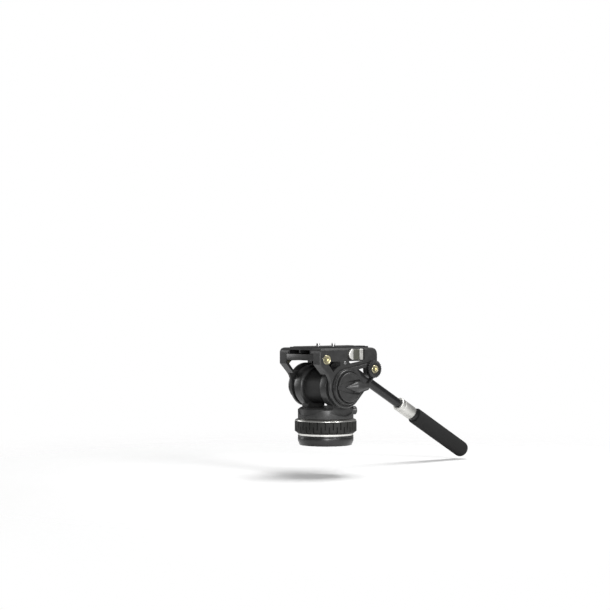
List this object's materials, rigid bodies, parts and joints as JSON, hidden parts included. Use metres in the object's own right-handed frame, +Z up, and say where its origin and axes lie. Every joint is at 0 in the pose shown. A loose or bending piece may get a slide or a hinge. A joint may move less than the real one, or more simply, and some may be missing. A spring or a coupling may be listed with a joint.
{
  "type": "fluid video head",
  "caption": "Flat-based fluid pan and tilt head with a ribbed drag ring, round tilt drum, sliding dovetail plate, side lock lever and a telescopic steering handle.",
  "frame": {"origin": "centre of the flat underside of the base, on the pan axis", "axes": "+Z up along the pan axis, -Y towards the front of the carried device, +X towards the operator's left, along the tilt axis"},
  "size_m": [0.1386, 0.387, 0.1812],
  "materials": {
    "black_paint": "cast, with a satin black powder coat",
    "dark_anodised": "black anodised",
    "inner_plastic": "black, out of sight",
    "steel": "bright turned steel",
    "satin_silver": "warm satin silver",
    "pale_brass": "pale plated brass",
    "rubber": "matte black rubber",
    "grip_foam": "matte black foam"
  },
  "bodies": {
    "base": {"base_flange": "black_paint", "base_thread_bush": "steel", "pan_spindle": "steel", "spindle_nut": "steel", "base_screw_1": "steel", "base_screw_2": "steel", "base_screw_3": "steel", "pan_drag_pack": "inner_plastic"},
    "drag_ring": {"drag_ring_core": "satin_silver", "drag_ring_grip": "rubber"},
    "pan_block": {"pan_body": "black_paint", "pan_bearing": "steel", "drum_housing": "dark_anodised", "tilt_fluid_cartridge": "inner_plastic", "counterbalance_spring": "steel", "left_tilt_bearing": "steel", "right_tilt_bearing": "steel"},
    "pan_lock": {"pan_lock_knob": "black_paint", "pan_lock_screw": "steel"},
    "cradle": {"left_cheek": "black_paint", "right_cheek": "black_paint", "cradle_platform": "black_paint", "tilt_shaft": "steel", "left_side_cover": "black_paint", "right_side_cover": "black_paint", "left_rosette": "dark_anodised", "right_rosette": "dark_anodised", "left_rosette_plug": "pale_brass", "right_rosette_bush": "pale_brass", "left_accessory_bush": "pale_brass", "right_accessory_bush": "pale_brass", "left_cheek_screw": "steel", "right_cheek_screw": "steel", "lock_lever_pin": "steel"},
    "tilt_lock": {"tilt_lock_lever": "black_paint"},
    "tilt_drag": {"tilt_drag_dial": "black_paint"},
    "plate": {"quick_release_plate": "dark_anodised", "left_plate_pad": "rubber", "right_plate_pad": "rubber"},
    "front_screw": {"front_camera_screw": "steel"},
    "rear_screw": {"rear_camera_screw": "steel"},
    "plate_lock": {"lock_lever": "satin_silver", "lock_lever_pad": "rubber"},
    "jaw": {"clamp_jaw": "dark_anodised"},
    "handle": {"handle_clamp": "black_paint", "handle_rod": "dark_anodised"},
    "clamp_knob": {"handle_clamp_knob": "black_paint", "handle_clamp_bolt": "steel"},
    "grip": {"handle_sleeve": "black_paint", "handle_grip": "grip_foam"},
    "collar": {"handle_collar": "satin_silver"}
  },
  "joints": [
    {"name": "pan", "type": "hinge", "parent": "base", "child": "pan_block", "pos_m": [0, 0, 0.045], "axis": [0, 0, 1], "continuous": true},
    {"name": "pan_drag_ring", "type": "hinge", "parent": "base", "child": "drag_ring", "pos_m": [0, 0, 0.0265], "axis": [0, 0, 1], "range_deg": [-150, 150]},
    {"name": "pan_lock_turn", "type": "hinge", "parent": "pan_block", "child": "pan_lock", "pos_m": [0, 0, 0.047], "axis": [0.342, 0.9397, 0], "range_deg": [-90, 90]},
    {"name": "tilt", "type": "hinge", "parent": "pan_block", "child": "cradle", "pos_m": [0, 0, 0.0816], "axis": [1, 0, 0], "range_deg": [-60, 75]},
    {"name": "tilt_lock_turn", "type": "hinge", "parent": "cradle", "child": "tilt_lock", "pos_m": [0.05, 0, 0.0816], "axis": [1, 0, 0], "range_deg": [-30, 60]},
    {"name": "tilt_drag_turn", "type": "hinge", "parent": "cradle", "child": "tilt_drag", "pos_m": [-0.05, 0, 0.0816], "axis": [1, 0, 0], "range_deg": [-120, 120]},
    {"name": "plate_slide", "type": "slide", "parent": "cradle", "child": "plate", "axis": [0, 1, 0], "range_m": [-0.03, 0.04]},
    {"name": "front_screw_turn", "type": "hinge", "parent": "plate", "child": "front_screw", "pos_m": [0, -0.014, 0.137], "axis": [0, 0, 1], "continuous": true},
    {"name": "rear_screw_turn", "type": "hinge", "parent": "plate", "child": "rear_screw", "pos_m": [0, 0.014, 0.137], "axis": [0, 0, 1], "continuous": true},
    {"name": "plate_lock_turn", "type": "hinge", "parent": "cradle", "child": "plate_lock", "pos_m": [0.0403, 0.0296, 0.1264], "axis": [0, 0, 1], "range_deg": [0, 90]},
    {"name": "jaw_slide", "type": "slide", "parent": "cradle", "child": "jaw", "axis": [1, 0, 0], "range_m": [0, 0.0008]},
    {"name": "handle_angle", "type": "hinge", "parent": "cradle", "child": "handle", "pos_m": [-0.058, 0.0478, 0.1056], "axis": [1, 0, 0], "range_deg": [-35, 70]},
    {"name": "clamp_knob_turn", "type": "hinge", "parent": "handle", "child": "clamp_knob", "pos_m": [-0.066, 0.0478, 0.1056], "axis": [1, 0, 0], "range_deg": [-120, 120]},
    {"name": "grip_slide", "type": "slide", "parent": "handle", "child": "grip", "axis": [0, 0.8712, -0.4909], "range_m": [-0.06, 0.02]},
    {"name": "collar_turn", "type": "hinge", "parent": "grip", "child": "collar", "pos_m": [-0.058, 0.05831, 0.12424], "axis": [0, 0.8712, -0.4909], "range_deg": [-60, 60]}
  ],
  "couplings": [
    {"joint": "jaw_slide", "follows": "plate_lock_turn", "m_per_rad": 0.000504}
  ]
}
